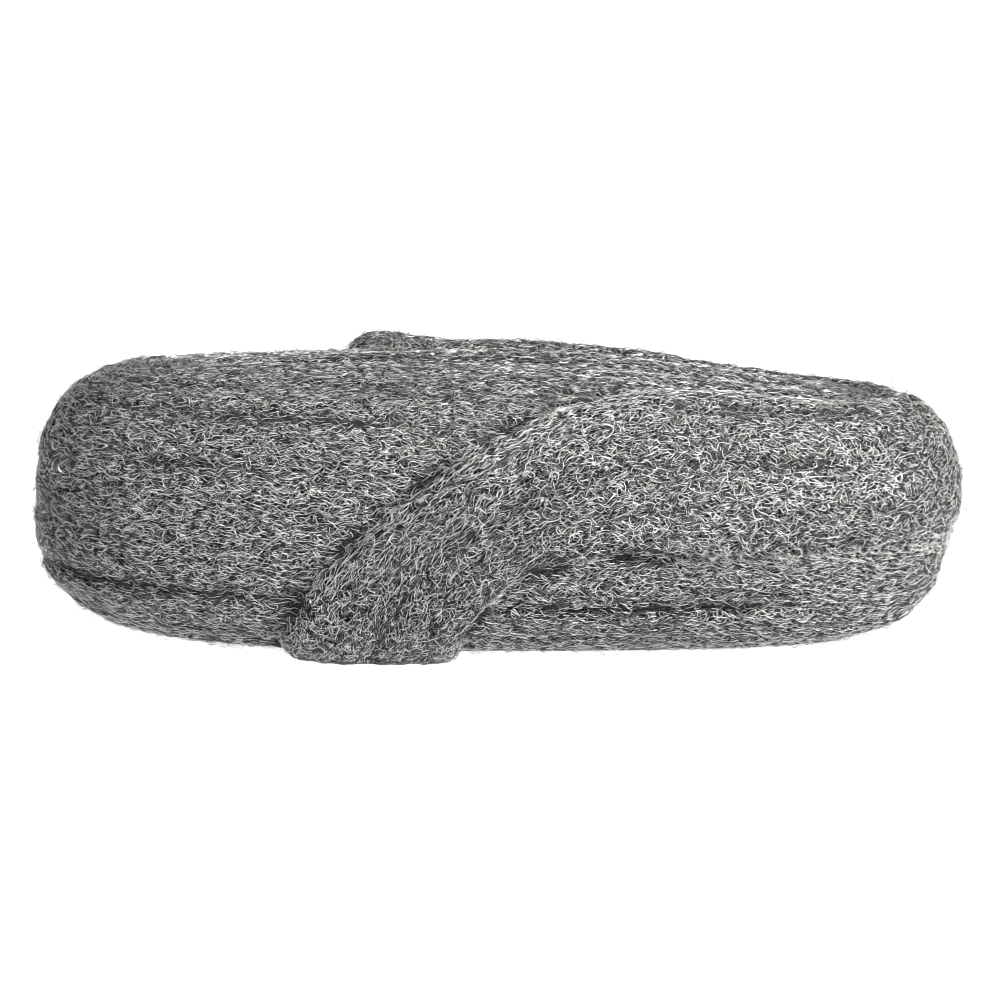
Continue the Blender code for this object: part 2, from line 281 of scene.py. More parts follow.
def earlier_turns(columns=600, rows_to_a_lap=12):
    """Points, drops, groove depths and bridges of the body's grid: rows run round it, from the eye down."""
    run = np.arange(columns) * ROUND / columns
    eye_drop = np.full_like(run, EYE_WIDTH / 4)
    points, drops = [lifted(run, eye_drop, np.full_like(run, -EYE_DEPTH))], [eye_drop]
    hollows, bridges = [np.full_like(run, EYE_HOLLOW)], [np.zeros_like(run)]
    for lap in range(LAPS):
        for step in range(rows_to_a_lap):
            place = step / rows_to_a_lap
            drop = mix(lap_edge(run, lap), lap_edge(run, lap + 1), place)
            if drop.min() < EYE_WIDTH / 2:
                continue
            edge = lap + round(place)
            hollow = groove(place, run / ROUND, GROOVE_WAVES, GROOVE_SHIFT * edge, GROOVE_LEAST)
            hollow = hollow * GROOVE_SHARES[min(edge, len(GROOVE_SHARES) - 1)]
            pressed = ease(body_point(run, drop)[:, 2], 0, PRESSED_HEIGHT)
            relief = wool_relief(BODY_RELIEF_SEED, run, drop + RELIEF_SHIFT * lap)
            points.append(lifted(run, drop, (relief - LAP_GROOVE * hollow) * pressed))
            drops.append(drop)
            open_here = open_share(run, edge)
            hollows.append(hollow * pressed * open_here)
            bridges.append(hollow * pressed * (1 - open_here))
    return run, np.array(points), np.array(drops), np.array(hollows), np.array(bridges)


body_run, body_points, body_drops, body_hollows, body_bridges = earlier_turns()
print("the earlier turns' grid:", body_points.shape[:2])

# %% [markdown]
# ## The last turn
#
# It comes up from under the bundle, crosses the front on the slant, runs round the right end and along the
# back, and its tail is tucked in on top. Its creases fan out where it bends. It is a strip between two
# edges that lie on the body, raised by its own thickness and rounded at its rims.


# %% The last turn as a grid
def crossing_edge(start, end, sweep, steps):
    angle = np.linspace(0, np.pi / 2, steps + 1)[:-1]
    return mix(start[0], end[0], np.sin(angle) ** sweep), mix(end[1], start[1], np.cos(angle) ** sweep)


def quarter_round(place):
    return np.sqrt(1 - (1 - np.clip(place, 0, 1)) ** 2)


def turn_edges(crossing_steps, level_steps):
    hem = TURN_SHOULDER + SLIVER_WIDTH
    foot_end = TURN_START + SLIVER_WIDTH + FOOT_SPREAD
    upper = crossing_edge((TURN_START, DOWN), (UPPER_LEVELS_AT, TURN_SHOULDER), UPPER_SWEEP, crossing_steps)
    lower = crossing_edge((foot_end, DOWN), (LOWER_LEVELS_AT, hem), LOWER_SWEEP, crossing_steps)
    share = np.linspace(0, 1, level_steps)
    middle = mix((TURN_SHOULDER + hem) / 2, TAIL_DROP, ease(share, *TURN_RISES))
    nose = np.maximum(quarter_round((1 - share) / NOSE), NOSE_BLUNTNESS)
    half_width = mix(SLIVER_WIDTH, TAIL_WIDTH, ease(share, *TAIL_NARROWS)) / 2 * nose
    upper_run = np.concatenate([upper[0], mix(UPPER_LEVELS_AT, BACK + TAIL_RUN, share)])
    lower_run = np.concatenate([lower[0], mix(LOWER_LEVELS_AT, BACK + TAIL_RUN, share)])
    upper_drop = np.concatenate([upper[1], middle - half_width])
    lower_drop = np.concatenate([lower[1], middle + half_width])
    return (upper_run, upper_drop), (lower_run, lower_drop)


TURN_LENGTH = 0.83
LEVELLING_STEPS = 40
CALM_START, CALM_END = 0.05, 0.12
TURN_RELIEF_SEED = 23
# The last turn's grooves take numbers beyond those of the laps, so that they open in places of their own.
FIRST_TURN_GROOVE = LAPS + 8
# In the photograph the foot's left edge slopes into the laps, so near the floor it is rolled wider here.
FOOT_ROLL, FOOT_ENDS = 0.034, (0.08, 0.13)


def last_turn(crossing_steps=136, level_steps=264, rows=56):
    """Outer and inner points of the last turn's grid, its groove depths and bridges. Rows run along it."""
    (upper_run, upper_drop), (lower_run, lower_drop) = turn_edges(crossing_steps, level_steps)
    width = np.hypot(upper_run - lower_run, upper_drop - lower_drop)
    steps = crossing_steps + level_steps
    travel = np.linspace(0, 1, steps)
    crossing = 1 - ease(np.arange(steps), crossing_steps, crossing_steps + LEVELLING_STEPS)
    bent = ease(np.arange(steps) / crossing_steps, *CREASE_TURNS)
    calm = np.clip(np.minimum(travel / CALM_START, (1 - travel) / CALM_END), 0, 1)
    belly, swelling = TURN_BELLY * (1 - ease(travel, 0, BELLY_END)), TAIL_RISE * ease(travel, *TAIL_SWELLS)
    top = TURN_THICKNESS + belly + swelling
    foot = 1 - ease(travel, *FOOT_ENDS)
    outer, inner, hollows, bridges = [], [], [], []
    for share in np.linspace(0, 1, rows):
        fold = min(np.searchsorted(CREASES, share, side="right") - 1, len(CREASES) - 2)
        place = (share - CREASES[fold]) / (CREASES[fold + 1] - CREASES[fold])
        run, drop = mix(upper_run, lower_run, share), mix(upper_drop, lower_drop, share)
        roll = mix(LEVEL_ROLL, CROSSING_ROLL, crossing) + FOOT_ROLL * foot * (share < 0.5)
        side = min(share, 1 - share) * width / roll
        rounded = np.minimum(quarter_round(side), quarter_round((1 - travel) / (1 - TIP_STARTS)))
        edge = fold + round(place)
        hollow = groove(place, travel, CREASE_WAVES, CREASE_SHIFT * edge, CREASE_LEAST)
        hollow = hollow * mix(CROSSING_SHARES[edge], LEVEL_SHARES[edge], bent) * rounded * calm
        relief = wool_relief(TURN_RELIEF_SEED, travel * TURN_LENGTH, share * width) * rounded
        lift = mix(mix(LEVEL_RIM, CROSSING_RIM, crossing), top, rounded) - CREASE_DEPTH * hollow + relief
        outer.append(lifted(run, drop, lift))
        inner.append(lifted(run, drop, np.full_like(run, -TURN_ROOT)))
        open_here = open_share(travel * TURN_LENGTH, FIRST_TURN_GROOVE + edge)
        hollows.append(hollow * open_here)
        bridges.append(hollow * (1 - open_here))
    return travel, np.array(outer), np.array(inner), np.array(hollows), np.array(bridges)


turn_travel, turn_outer, turn_inner, turn_hollows, turn_bridges = last_turn()
print("the last turn's grid:", turn_outer.shape[:2])


# %% [markdown]
# ## The wool core
#
# The two grids are closed into solids and a voxel remesh melts them into one skin, as the real turns
# lie in each other without a seam. Where it lies on the floor it is pressed level.


# %% Two closed grids
def grid_quads(rows, columns, closed, first=0):
    steps = columns if closed else columns - 1
    row, column = np.meshgrid(np.arange(rows - 1), np.arange(steps), indexing="ij")
    here, after = first + row * columns + column, first + row * columns + (column + 1) % columns
    return np.stack([here, here + columns, after + columns, after], axis=-1).reshape(-1, 4).tolist()


def body_solid(points):
    rows, columns = points.shape[:2]
    quads = grid_quads(rows, columns, closed=True)
    eye, underside = list(range(columns)), list(range((rows - 1) * columns, rows * columns))
    return points.reshape(-1, 3), quads + [eye, underside[::-1]]


def turn_solid(outer, inner):
    rows, columns = outer.shape[:2]
    under = rows * columns
    quads = grid_quads(rows, columns, closed=False)
    quads += [quad[::-1] for quad in grid_quads(rows, columns, closed=False, first=under)]
    rim = list(range(columns)) + [row * columns + columns - 1 for row in range(1, rows)]
    rim += [(rows - 1) * columns + step for step in range(columns - 2, -1, -1)]
    rim += [row * columns for row in range(rows - 2, 0, -1)]
    quads += [(here, after, after + under, here + under) for here, after in zip(rim, rim[1:] + rim[:1])]
    return np.concatenate([outer.reshape(-1, 3), inner.reshape(-1, 3)]), quads


# %% [markdown]
# A voxel is 2.1 mm wide. That is fine enough for the grooves and the main creases, and it keeps the skin
# well under the 200,000 triangles that one piece may have.

# %% Melt them into one skin
SKIN_CELL = 0.0021


def wool_core():
    points, faces = body_solid(body_points)
    turn_points, turn_faces = turn_solid(turn_outer, turn_inner)
    faces = faces + [[corner + len(points) for corner in face] for face in turn_faces]
    mesh = bpy.data.meshes.new("wool_core")
    mesh.from_pydata(np.concatenate([points, turn_points]).tolist(), [], faces)
    core = bpy.data.objects.new("wool_core", mesh)
    bpy.context.scene.collection.objects.link(core)
    remesh = core.modifiers.new("one skin", "REMESH")
    remesh.mode = "VOXEL"
    remesh.voxel_size = SKIN_CELL
    bpy.context.view_layer.update()
    skin = bpy.data.meshes.new_from_object(core.evaluated_get(bpy.context.evaluated_depsgraph_get()))
    core.modifiers.clear()
    core.data = skin
    return core


core = wool_core()
print("the core's skin has", len(core.data.polygons), "faces")

# %% [markdown]
# The CAD is centred over the origin by its own box, so the skin moves by the same amount. What a voxel is
# too coarse to hold is given back afterwards: each vertex goes out or in by a fine noise along its normal.

# %% Press it level, centre it and roughen it
CENTRED_BY = Vector((0.0034, -0.0031, 0.0))
ROUGH_CELL, ROUGH_DEPTH = 0.0042, 0.0004
ROUGH_SEEDS = (31, 32)
ROUGH_STARTS = (0.0005, 0.004)


def vertex_array(mesh, name="co"):
    values = np.empty(len(mesh.vertices) * 3)
    mesh.vertices.foreach_get(name, values)
    return values.reshape(-1, 3)


def settle_on_floor(piece):
    """Presses what hangs below the floor up to it, so that the bundle rests on a level patch."""
    places = vertex_array(piece.data) - np.array(CENTRED_BY)
    places[:, 2] = np.maximum(places[:, 2], 0.0)
    piece.data.vertices.foreach_set("co", places.ravel())
    piece.data.update()


def roughen(piece):
    """Moves each vertex along its normal by two crossed noises, and those on the floor not at all."""
    places, normals = vertex_array(piece.data), vertex_array(piece.data, "normal")
    x, y, z = (places / ROUGH_CELL).T
    rough = soft_noise(ROUGH_SEEDS[0], x + 0.37 * z, y + 0.53 * z)
    rough = rough + soft_noise(ROUGH_SEEDS[1], 1.9 * x - z, 1.9 * z + y)
    above = ease(places[:, 2], *ROUGH_STARTS)
    places += normals * (ROUGH_DEPTH * rough * above)[:, None]
    piece.data.vertices.foreach_set("co", places.ravel())
    piece.data.update()


settle_on_floor(core)
roughen(core)
core.data.shade_smooth()
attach(core, "root")
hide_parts(HANK)
low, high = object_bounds()
print("the core's box:", [round(side, 4) for side in high - low])

# %% [markdown]
# ## Which way the fibres run
#
# Fibres follow the sliver. Every point of the two grids knows its direction, how far along and across the
# sliver it is and how deep its groove is, so each vertex of the skin asks the nearest grid point.


# %% Directions from the grids
def grid_facts(points, along, across, hollows, bridges, layer, closed):
    """A grid's places, and for each its way along and aside, then the numbers that facts_at reads."""
    if closed:
        way = (np.roll(points, -1, axis=1) - np.roll(points, 1, axis=1)) / 2
        gain = np.full(points.shape[:2], along[0, 1] - along[0, 0])
    else:
        way = np.gradient(points, axis=1)
        gain = np.gradient(along * np.ones_like(hollows), axis=1)
    aside = np.gradient(points, axis=0)
    widening = np.gradient(across, axis=0)
    stretch = gain / np.maximum(np.linalg.norm(way, axis=-1), 1e-9)
    aside_stretch = widening / np.maximum(np.linalg.norm(aside, axis=-1), 1e-9)
    along = along * np.ones_like(hollows)
    layers = np.full_like(hollows, layer)
    numbers = np.stack([stretch, aside_stretch, along, across, hollows, layers, bridges], axis=-1)
    places = points - np.array(CENTRED_BY)
    rows = np.concatenate([unit(way), unit(aside), numbers], axis=-1)
    return places.reshape(-1, 3), rows.reshape(-1, rows.shape[-1])


def point_tree(places):
    found = kdtree.KDTree(len(places))
    for index, place in enumerate(places.tolist()):
        found.insert(place, index)
    found.balance()
    return found


turn_along = turn_travel[None] * TURN_LENGTH
turn_across = np.linspace(0, SLIVER_WIDTH, len(turn_outer))[:, None] * np.ones_like(turn_hollows)
both_grids = [
    grid_facts(body_points, body_run[None], body_drops, body_hollows, body_bridges, 0.0, True),
    grid_facts(turn_outer, turn_along, turn_across, turn_hollows, turn_bridges, 1.0, False),
]
fact_places = np.concatenate([places for places, rows in both_grids])
fact_rows = np.concatenate([rows for places, rows in both_grids])
fact_tree = point_tree(fact_places)

# The columns of the facts that a vertex of the skin keeps. The three before them are its fibres' way.
ALONG, ACROSS, HOLLOW, LAYER, BRIDGE, TAUT_HIGHLIGHT = range(3, 9)


def facts_at(places):
    """For each place: its way along the sliver, how far along and across, its hollow, layer and bridge."""
    nearest = np.array([fact_tree.find(place)[1] for place in places.tolist()])
    rows, off = fact_rows[nearest], places - fact_places[nearest]
    along = rows[:, 8] + (off * rows[:, 0:3]).sum(axis=1) * rows[:, 6]
    across = rows[:, 9] + (off * rows[:, 3:6]).sum(axis=1) * rows[:, 7]
    return np.concatenate([rows[:, 0:3], along[:, None], across[:, None], rows[:, 10:13]], axis=1)


core_facts = facts_at(vertex_array(core.data))
print("asked", len(core_facts), "vertices,", int(core_facts[:, LAYER].sum()), "of them on the last turn")

# %% [markdown]
# ## Crevices beside the last turn
#
# Where the turn crosses the front on the slant, it stands off the laps under it, and a dark crevice runs
# beside each rim. It is wide open and nearly closed by turns, every 47 mm, and loose fibres lie over it
# where it is closed. Where it is open, painted shade darkens the core and dulls the fibres. Where the turn
# runs level its rims lie in with the laps, so there is no crevice.

# %% How hollow the wool is beside the rims
RIM_WAVE, RIM_START = 0.047, 0.6
CREVICE_LEAST, CREVICE_NEAR, CREVICE_WIDTH = 0.3, 0.001, 0.010
CREVICE_ON_TURN = 0.3
RIM_JUMP = 0.05
LEVEL_STARTS = (0.28, 0.36)
LEVEL_RIM_REACH, LEVEL_RIM_CLOSES = (0.004, 0.014), 0.8
OVER_RIM_REACH, OVER_RIM_SHARE = (0.003, 0.010), 0.7
rim_places = np.concatenate([turn_outer[0], turn_outer[-1]]) - np.array(CENTRED_BY)
rim_steps = np.linalg.norm(np.diff(rim_places, axis=0), axis=1)
# The one step from the upper rim's end to the lower rim's start is no way along a rim, so it counts as none.
rim_travel = np.concatenate([[0], np.cumsum(np.where(rim_steps < RIM_JUMP, rim_steps, 0))])
rims = point_tree(rim_places)
nearest_rims = [rims.find(place) for place in vertex_array(core.data).tolist()]
to_rim = np.array([found_rim[2] for found_rim in nearest_rims])
rim_index = np.array([found_rim[1] for found_rim in nearest_rims])
rim_phase = 2 * np.pi * rim_travel[rim_index] / RIM_WAVE
rim_wave = 0.5 + 0.5 * np.sin(rim_phase + RIM_START)
openness = mix(CREVICE_LEAST, 1.0, rim_wave)
rim_length = turn_outer.shape[1]
on_level = ease(rim_index % rim_length / rim_length, *LEVEL_STARTS)
on_lower_rim = rim_index >= rim_length
openness = openness * (1 - on_level)
# Painted shade: an open crevice raises the hollow that darkens the core and dulls the fibres beside the rims.
beside = (1 - ease(to_rim, CREVICE_NEAR, CREVICE_WIDTH)) * openness
beside = beside * mix(1.0, CREVICE_ON_TURN, core_facts[:, LAYER])
level_rim = on_level * (1 - ease(to_rim, *LEVEL_RIM_REACH))
hollow_there = np.maximum(core_facts[:, HOLLOW], beside)
core_facts[:, HOLLOW] = np.clip(hollow_there * (1 - LEVEL_RIM_CLOSES * level_rim), 0, 1)
over_rim = (1 - ease(to_rim, *OVER_RIM_REACH)) * (1 - rim_wave) ** 2 * (1 - on_level)
rim_bridge = np.maximum(level_rim * on_lower_rim, OVER_RIM_SHARE * over_rim)
core_facts[:, BRIDGE] = np.maximum(core_facts[:, BRIDGE], rim_bridge)
print(f"{(beside > 0.5).mean():.1%} of the skin's vertices lie in an open crevice")

# %% [markdown]
# Where the turn bends over the bundle, its upper edge is drawn tight: the fibres there are combed. Its bright
# ridge is a painted highlight: the core there loses its painted shade, and more of its fibres take the
# brightest steel.

# %% The last turn's taut upper edge
TAUT_STARTS, TAUT_ENDS = (0.08, 0.20), (0.36, 0.46)
TAUT_WIDTH = 0.016
travel_there = rim_index / rim_length
taut_highlight = ease(travel_there, *TAUT_STARTS) * (1 - ease(travel_there, *TAUT_ENDS))
taut_highlight = taut_highlight * core_facts[:, LAYER] * (1 - ease(to_rim, TAUT_WIDTH / 2, TAUT_WIDTH))
core_facts = np.concatenate([core_facts, taut_highlight[:, None]], axis=1)
# Part of the painted highlight: the core along the taut edge loses its painted shade.
core_facts[:, HOLLOW] *= 1 - taut_highlight
print(f"{(taut_highlight > 0.5).mean():.1%} of the skin's vertices lie on the taut edge")

# %% [markdown]
# The material needs two of the facts: the place in the sliver, which its pattern runs along, and how hollow
# the wool is there, which sets its painted shade. The last turn takes its pattern from elsewhere than the
# laps under it.

# %% Keep the facts on the skin
LAST_TURN_SHIFT = (0.37, 0.11, 0.5)
grain = core.data.attributes.new("grain", "FLOAT_VECTOR", "POINT")
grain_places = core_facts[:, [ALONG, ACROSS, LAYER]] * (1, 1, 0) + core_facts[:, [LAYER]] * LAST_TURN_SHIFT
grain.data.foreach_set("vector", grain_places.ravel())
hollow = core.data.attributes.new("hollow", "FLOAT", "POINT")
hollow.data.foreach_set("value", core_facts[:, HOLLOW])

# %% [markdown]
# ## Colours and nodes
#
# Colours are written as hex values, as a paint chart gives them, and one function turns them into the
# linear values that Blender works in. The others add a shader node, a sum and a change of range.


# %% Helpers for materials
def linear(hex_colour):
    parts = [int(hex_colour[place : place + 2], 16) / 255 for place in (1, 3, 5)]
    bright = [part / 12.92 if part <= 0.04045 else ((part + 0.055) / 1.055) ** 2.4 for part in parts]
    return (*bright, 1.0)


def add_node(tree, kind, inputs=(), **settings):
    """Adds a node, sets its own settings, and gives each named input a value or a link."""
    node = tree.nodes.new(kind)
    for name, value in settings.items():
        setattr(node, name, value)
    for name, value in dict(inputs).items():
        if isinstance(value, bpy.types.NodeSocket):
            tree.links.new(value, node.inputs[name])
        else:
            node.inputs[name].default_value = value
    return node


def calculate(tree, operation, *values):
    return add_node(tree, "ShaderNodeMath", dict(enumerate(values)), operation=operation).outputs[0]


def change_range(tree, value, start, end, first, last, **settings):
    """Turns a value between start and end into one between first and last, and keeps it there."""
    inputs = {"Value": value, "From Min": start, "From Max": end, "To Min": first, "To Max": last}
    return add_node(tree, "ShaderNodeMapRange", inputs, **settings).outputs["Result"]


def new_material(name):
    material = bpy.data.materials.new(name)
    material.use_nodes = True
    return material, material.node_tree.nodes["Principled BSDF"]


# %% [markdown]
# ## The core's finish: shaved mild steel, crossing strands over dark gaps
#
# Lines across a sheet make strands of even width, and a noise bends them. A second noise dims stretches of
# each strand with painted shade, where it dives into the thicket. Four such sheets, turned against each
# other, cross as the sliver's fibres do. Each is laid over the one before, and a painted shadow along its
# strands parts them from what is below. The near-black gaps between the strands are painted shade of the
# thicket's depth. Real fibres are 0.05 to 0.1 mm thick and too fine to show from here, so the strands are
# drawn about 0.5 mm wide, with soft edges.


# %% Shaved steel with crossing strands
# For each sheet: the strands' spacing in metres, their turn in radians, how many spacings the noise bends
# them by, their width in metres and a seed.
SHEETS = [
    (0.0013, -1.10, 6.0, 0.00042, 47.9),
    (0.0014, 0.20, 5.0, 0.00044, 3.1),
    (0.0015, 0.80, 6.5, 0.00044, 31.3),
    (0.0017, -0.35, 6.0, 0.00046, 17.7),
]
# How far a strand and its painted shadow reach from its middle, in widths, and how dark that painted shadow
# is.
STRAND_REACH, PAINTED_SHADOW_REACH, PAINTED_SHADOW_DARKNESS = 0.6, 1.3, 0.9
# Both noises' scales are per spacing. A strand is dimmest, in painted shade, below the dive's start and full
# from its end on.
BEND_SCALE, DIVE_SCALE, DIVE, DIMMEST = 0.2, 0.62, (0.36, 0.64), 0.1
# Painted shade: how much darker the core is where it is hollow, in grooves, creases, crevices and the eye.
CORE_PAINTED_SHADE = 0.70


def strands(tree, place, below, spacing, turned, bend, width, seed):
    """Lays a sheet of strands over what is below: 1 along a strand's middle, and a painted shadow beside it.
    """
    shift = (seed, 0.7 * seed, 1.3 * seed)
    laid = {"Vector": place, "Location": shift, "Rotation": (0, 0, turned), "Scale": (1 / spacing,) * 3}
    sheet = add_node(tree, "ShaderNodeMapping", laid).outputs["Vector"]
    bending = {"Vector": sheet, "Scale": BEND_SCALE, "Detail": 1.0, "Roughness": 0.4}
    bends = add_node(tree, "ShaderNodeTexNoise", bending).outputs["Fac"]
    across = add_node(tree, "ShaderNodeSeparateXYZ", {"Vector": sheet}).outputs["Y"]
    saw = calculate(tree, "FRACT", calculate(tree, "MULTIPLY_ADD", bends, bend, across))
    distance = calculate(tree, "ABSOLUTE", calculate(tree, "SUBTRACT", saw, 0.5))
    reach = STRAND_REACH * width / spacing
    line = change_range(tree, distance, 0.0, reach, 1.0, 0.0, interpolation_type="SMOOTHSTEP")
    # Painted shade: a strand is dimmed where it dives into the thicket.
    dives = add_node(tree, "ShaderNodeTexNoise", {"Vector": sheet, "Scale": DIVE_SCALE, "Detail": 0.0})
    seen = change_range(tree, dives.outputs["Fac"], *DIVE, DIMMEST, 1.0)
    top = calculate(tree, "MULTIPLY", line, seen)
    if below is None:
        return top
    # Painted shadow: a margin beside each strand darkens what lies below it.
    painted_shadow = change_range(tree, distance, 0.0, PAINTED_SHADOW_REACH * width / spacing, 1.0, 0.0)
    over = calculate(tree, "MULTIPLY", painted_shadow, seen)
    kept = calculate(tree, "MULTIPLY_ADD", over, -PAINTED_SHADOW_DARKNESS, 1.0)
    return calculate(tree, "MAXIMUM", calculate(tree, "MULTIPLY", below, kept), top)


def web_of_shaved_steel():
    material, shader = new_material("shaved_mild_steel_web")
    tree = material.node_tree
    place = add_node(tree, "ShaderNodeAttribute", attribute_name="grain").outputs["Vector"]
    hollow = add_node(tree, "ShaderNodeAttribute", attribute_name="hollow").outputs["Fac"]
    web = None
    for sheet in SHEETS:
        web = strands(tree, place, web, *sheet)
    # Painted shade: the web darkens where the wool is hollow.
    shade = calculate(tree, "MULTIPLY_ADD", hollow, -CORE_PAINTED_SHADE, 1.0)
    seen = calculate(tree, "MULTIPLY", web, shade)
    # The ramp's near-black end is painted shade in the gaps between the strands.
    colour = add_node(tree, "ShaderNodeValToRGB", {"Fac": seen})
    colour.color_ramp.elements[0].color = linear("#050505")
    colour.color_ramp.elements[1].color = linear("#f2f2f0")
    middle = colour.color_ramp.elements.new(0.5)
    middle.color = linear("#5e5e5d")
    bump = add_node(tree, "ShaderNodeBump", {"Height": seen, "Strength": 0.6, "Distance": 0.0004})
    rough = change_range(tree, seen, 0.0, 1.0, 0.75, 0.42)
    tree.links.new(colour.outputs["Color"], shader.inputs["Base Color"])
    tree.links.new(rough, shader.inputs["Roughness"])
    tree.links.new(bump.outputs["Normal"], shader.inputs["Normal"])
    shader.inputs["Metallic"].default_value = 0.9
    return material


core.data.materials.clear()
core.data.materials.append(web_of_shaved_steel())
print("the core's finish:", core.data.materials[0].name, "with", len(SHEETS), "sheets of strands")

# %% [markdown]
# ## The fibres
#
# Each fibre is a shaving with a three-sided section and sharp edges, which is why steel wool cuts. It
# starts and ends down in the thicket and arches out of it between. Its path is a heading that turns
# steadily and swings a little, laid on the skin along the sliver. It twists on its way, so that one flat
# side after another catches the light.
#
# Fewer fibres are seen in the hollows, and more where they bridge one. Near the floor they thin out.

# %% Where fibres start
FLOOR_FADE = (0.0002, 0.006)
SEEN_IN_HOLLOWS, MORE_ON_BRIDGES = 0.5, 0.8
skin_mesh = core.data
corners = np.empty(len(skin_mesh.loops), dtype=int)
skin_mesh.loops.foreach_get("vertex_index", corners)
skin_points = vertex_array(skin_mesh)
skin_normals = vertex_array(skin_mesh, "normal")
quads = corners.reshape(-1, 4)
quad_centres = skin_points[quads].mean(axis=1)
diagonals = [skin_points[quads[:, corner + 2]] - skin_points[quads[:, corner]] for corner in (0, 1)]
quad_areas = np.linalg.norm(np.cross(*diagonals), axis=1) / 2
quad_facts = core_facts[quads].mean(axis=1)
quad_hollows = np.clip(quad_facts[:, HOLLOW], 0, 1)
seen_share = ease(quad_centres[:, 2], *FLOOR_FADE) * mix(1.0, SEEN_IN_HOLLOWS, quad_hollows)
seen_share = seen_share * (1 + MORE_ON_BRIDGES * quad_facts[:, BRIDGE])
skin = BVHTree.FromPolygons(skin_points.tolist(), quads.tolist())

# The sliver's own bands, end to end: fibres set at even steps along them lie neither in clumps nor in rows.
BAND = 0.003
bands = np.floor(quad_facts[:, ACROSS] / BAND)
band_order = np.lexsort((quad_facts[:, ALONG], bands, np.round(quad_facts[:, LAYER])))
fibre_share = np.cumsum((quad_areas * seen_share)[band_order])
fibre_share = fibre_share / fibre_share[-1]
print(f"the skin's area is {quad_areas.sum():.3f} square metres")


# %% [markdown]
# A fibre's heading is summed up into a flat path, and each point of it is then brought down to the skin and
# lifted off it again by the fibre's arch. In hollows and along the taut edge the fibres lie combed, and in
# hollows they lie low as well. On the last turn they are more tangled than on the laps.


# %% Laying fibres
FULL_TURN = 6.28
BRIDGE_HEIGHT, BRIDGE_SHARES = 0.0032, (0.3, 1.0)
LAP_TANGLE, TURN_TANGLE, COMBED_TANGLE = 0.75, 1.35, 0.4
WAVELENGTHS, SWING_SHARES = (0.008, 0.020), (0.4, 1.0)
PEAK_SHAPE, PEAK_IN_HOLLOWS = 3.0, 0.3
ROOT_DEPTH, FLOOR_CLEARANCE = 0.0004, 0.0003
# The arch is uneven by this share of its peak, in waves shorter than the heading's.
UNEVEN_SHARE, UNEVEN_LEAST, UNEVEN_WAVE = 0.3, 0.0003, 0.7


def nearest_on_skin(places):
    """The nearest point of the skin and its normal there, for many places."""
    hits = [skin.find_nearest(place)[:2] for place in places.reshape(-1, 3).tolist()]
    points = np.array([hit[0] for hit in hits]).reshape(places.shape)
    normals = np.array([hit[1] for hit in hits]).reshape(places.shape)
    return points, normals


def fibre_paths(rng, count, points, length, swing, curl, stray, height):
    """Middle lines and outward ways of that many fibres, as arrays of (fibre, point, xyz)."""
    chosen = band_order[np.searchsorted(fibre_share, (np.arange(count) + rng.random(count)) / count)]
    blend = rng.dirichlet((1, 1, 1, 1), count)
    start = (skin_points[quads[chosen]] * blend[..., None]).sum(axis=1)
    normal = unit(skin_normals[quads[chosen]].mean(axis=1))
    along = quad_facts[chosen, :ALONG]
    along = unit(along - normal * (along * normal).sum(axis=1, keepdims=True))
    side = np.cross(normal, along)
    lengths = rng.uniform(*length, count)[:, None]
    travel = np.linspace(-0.5, 0.5, points)[None, :] * lengths
    hollow, taut_highlight = quad_hollows[chosen], quad_facts[chosen, TAUT_HIGHLIGHT]
    tangled = mix(LAP_TANGLE, TURN_TANGLE, quad_facts[chosen, LAYER])[:, None]
    tangled = tangled * mix(1.0, COMBED_TANGLE, np.maximum(hollow, taut_highlight))[:, None]
    wavelength = rng.uniform(*WAVELENGTHS, count)[:, None]
    heading = rng.normal(0, stray, count)[:, None] * tangled
    swings = rng.uniform(*SWING_SHARES, count)[:, None] * swing
    phase = 2 * np.pi * travel / wavelength + rng.uniform(0, FULL_TURN, count)[:, None]
    heading = heading + swings * np.sin(phase)
    heading = heading + rng.normal(0, curl, count)[:, None] * travel / lengths * 2
    heading = heading + (rng.random(count) < 0.5)[:, None] * np.pi
    step = lengths / (points - 1)
    forward, sideways = [np.cumsum(part(heading) * step, axis=1) for part in (np.cos, np.sin)]
    forward, sideways = [part - part.mean(axis=1, keepdims=True) for part in (forward, sideways)]
    flat = start[:, None] + along[:, None] * forward[..., None] + side[:, None] * sideways[..., None]
    on_skin, out = nearest_on_skin(flat)
    arch = 1 - (2 * travel / lengths) ** 2
    peak = rng.gamma(PEAK_SHAPE, height / PEAK_SHAPE, count) * mix(1.0, PEAK_IN_HOLLOWS, hollow)
    bridging = BRIDGE_HEIGHT * quad_facts[chosen, BRIDGE] * rng.uniform(*BRIDGE_SHARES, count)
    peak = (peak + bridging)[:, None]
    phase = 2 * np.pi * travel / (UNEVEN_WAVE * wavelength) + rng.uniform(0, FULL_TURN, count)[:, None]
    ripple = UNEVEN_SHARE * (peak + UNEVEN_LEAST) * np.sin(phase)
    lift = -ROOT_DEPTH + (peak + ROOT_DEPTH) * arch + ripple * arch
    paths = on_skin + out * lift[..., None]
    paths[..., 2] = np.maximum(paths[..., 2], FLOOR_CLEARANCE)
    return paths, out, hollow, taut_highlight


# %% [markdown]
# Round each inner point of a path stand three corners, and each end is drawn out to a tip. All the fibres of
# a layer have the same triangles, so one list of them serves for every fibre. Fibres are drawn 0.23 to
# 0.35 mm thick, because ones as fine as the real ones vanish in a picture of this size.


# %% Fibres as three-sided tubes
FIBRE_THICKNESS = (0.00023, 0.00035)
TWIST = 1.2


